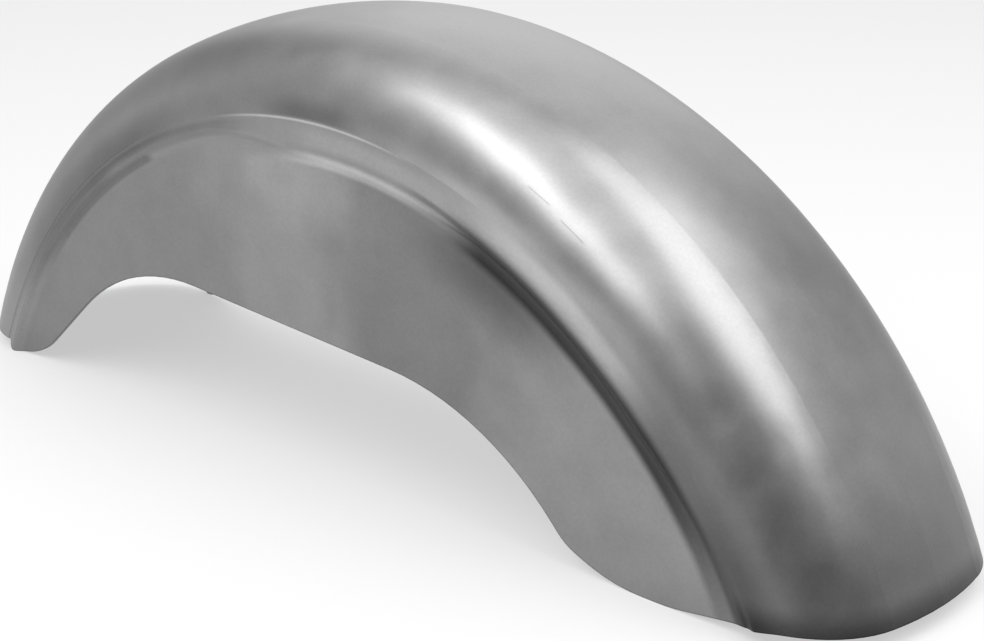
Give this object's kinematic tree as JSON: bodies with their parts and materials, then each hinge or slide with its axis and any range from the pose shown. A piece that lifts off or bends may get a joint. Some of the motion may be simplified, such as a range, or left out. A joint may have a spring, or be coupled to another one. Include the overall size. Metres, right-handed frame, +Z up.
{
  "type": "motorcycle rear fender",
  "caption": "Wide arched rear fender shell of raw steel sheet with rounded crown, flared seam, flat side panels and swept lower edges, undrilled.",
  "frame": {"origin": "on the bench under the middle of the fender's length and width, level with the lowest points of its four lower lobes", "axes": "+X towards the tail, +Y towards the right side of the motorcycle, +Z up"},
  "size_m": [0.754, 0.181, 0.2701],
  "materials": {
    "raw_steel": "bare pressed sheet with a satin mill surface"
  },
  "bodies": {
    "root": {"fender": "raw_steel"}
  },
  "joints": []
}
